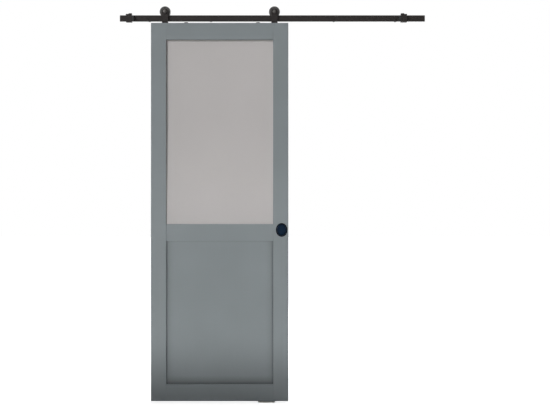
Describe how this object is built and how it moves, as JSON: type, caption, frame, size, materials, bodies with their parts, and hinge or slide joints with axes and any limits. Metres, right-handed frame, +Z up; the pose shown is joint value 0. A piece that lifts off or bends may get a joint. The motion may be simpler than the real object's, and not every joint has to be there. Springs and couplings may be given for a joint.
{
  "type": "glazed sliding door",
  "caption": "Surface-hung sliding door: painted timber leaf with frosted upper glass and flat lower panel, flush pulls, grooved rollers on a flat wall rail with end stops, and a floor guide.",
  "frame": {"origin": "on the wall plane, at the middle fixing of the rail", "axes": "+X to the right for someone facing the door, +Y into the wall, +Z up"},
  "size_m": [1.625, 0.0985, 2.135],
  "materials": {
    "painted_timber": "satin blue-grey paint",
    "frosted_glass": "frosted, light grey",
    "black_steel": "matt black powder coat",
    "fastener_steel": "black, slightly glossy",
    "pull_metal": "dark blue-black",
    "wheel_plastic": "black nylon",
    "guide_plastic": "natural nylon",
    "block_plastic": "plain",
    "bearing_steel": "ground",
    "seal_rubber": "matt",
    "buffer_rubber": "matt black",
    "channel_aluminium": "mill"
  },
  "bodies": {
    "track": {"floor_guide": "guide_plastic", "floor_guide_screws": "fastener_steel", "stop_left": "black_steel", "stop_left_buffer": "buffer_rubber", "stop_left_grub_screw": "fastener_steel", "stop_right": "black_steel", "stop_right_buffer": "buffer_rubber", "stop_right_grub_screw": "fastener_steel", "track_rail": "black_steel", "wall_screws": "black_steel", "wall_spacer_1": "black_steel", "wall_spacer_2": "black_steel", "wall_spacer_3": "black_steel", "wall_spacer_4": "black_steel", "wall_spacer_5": "black_steel"},
    "leaf": {"anti_jump_disc_left": "black_steel", "anti_jump_disc_left_screw": "fastener_steel", "anti_jump_disc_right": "black_steel", "anti_jump_disc_right_screw": "fastener_steel", "bearing_left_inner_race": "bearing_steel", "bearing_right_inner_race": "bearing_steel", "bottom_rail": "painted_timber", "flush_pull_back": "pull_metal", "flush_pull_front": "pull_metal", "glass_pane": "frosted_glass", "glazing_bead_bottom": "painted_timber", "glazing_bead_left": "painted_timber", "glazing_bead_right": "painted_timber", "glazing_bead_top": "painted_timber", "guide_channel": "channel_aluminium", "hanger_left_axle_bolt": "fastener_steel", "hanger_left_foot_screws": "fastener_steel", "hanger_left_front_bush": "black_steel", "hanger_left_nut": "fastener_steel", "hanger_left_rear_bush": "black_steel", "hanger_left_strap": "black_steel", "hanger_right_axle_bolt": "fastener_steel", "hanger_right_foot_screws": "fastener_steel", "hanger_right_front_bush": "black_steel", "hanger_right_nut": "fastener_steel", "hanger_right_rear_bush": "black_steel", "hanger_right_strap": "black_steel", "lower_panel": "painted_timber", "middle_rail": "painted_timber", "setting_blocks": "block_plastic", "stile_left": "painted_timber", "stile_right": "painted_timber", "top_rail": "painted_timber"},
    "wheel_left": {"wheel_left": "wheel_plastic", "bearing_left_outer_race": "bearing_steel", "bearing_left_seals": "seal_rubber"},
    "cage_left": {"bearing_left_balls": "bearing_steel", "bearing_left_cage": "bearing_steel"},
    "wheel_right": {"wheel_right": "wheel_plastic", "bearing_right_outer_race": "bearing_steel", "bearing_right_seals": "seal_rubber"},
    "cage_right": {"bearing_right_balls": "bearing_steel", "bearing_right_cage": "bearing_steel"}
  },
  "joints": [
    {"name": "door_slide", "type": "slide", "parent": "track", "child": "leaf", "axis": [1, 0, 0], "range_m": [-0.1472, 0.6442]},
    {"name": "wheel_left_spin", "type": "hinge", "parent": "leaf", "child": "wheel_left", "pos_m": [-0.571, -0.03, 0.039], "axis": [0, 1, 0], "continuous": true},
    {"name": "cage_left_spin", "type": "hinge", "parent": "leaf", "child": "cage_left", "pos_m": [-0.571, -0.03, 0.039], "axis": [0, 1, 0], "continuous": true},
    {"name": "wheel_right_spin", "type": "hinge", "parent": "leaf", "child": "wheel_right", "pos_m": [0.011, -0.03, 0.039], "axis": [0, 1, 0], "continuous": true},
    {"name": "cage_right_spin", "type": "hinge", "parent": "leaf", "child": "cage_right", "pos_m": [0.011, -0.03, 0.039], "axis": [0, 1, 0], "continuous": true}
  ],
  "couplings": [
    {"joint": "wheel_left_spin", "follows": "door_slide", "rad_per_m": 56.497},
    {"joint": "cage_left_spin", "follows": "door_slide", "rad_per_m": 35.154},
    {"joint": "wheel_right_spin", "follows": "door_slide", "rad_per_m": 56.497},
    {"joint": "cage_right_spin", "follows": "door_slide", "rad_per_m": 35.154}
  ]
}
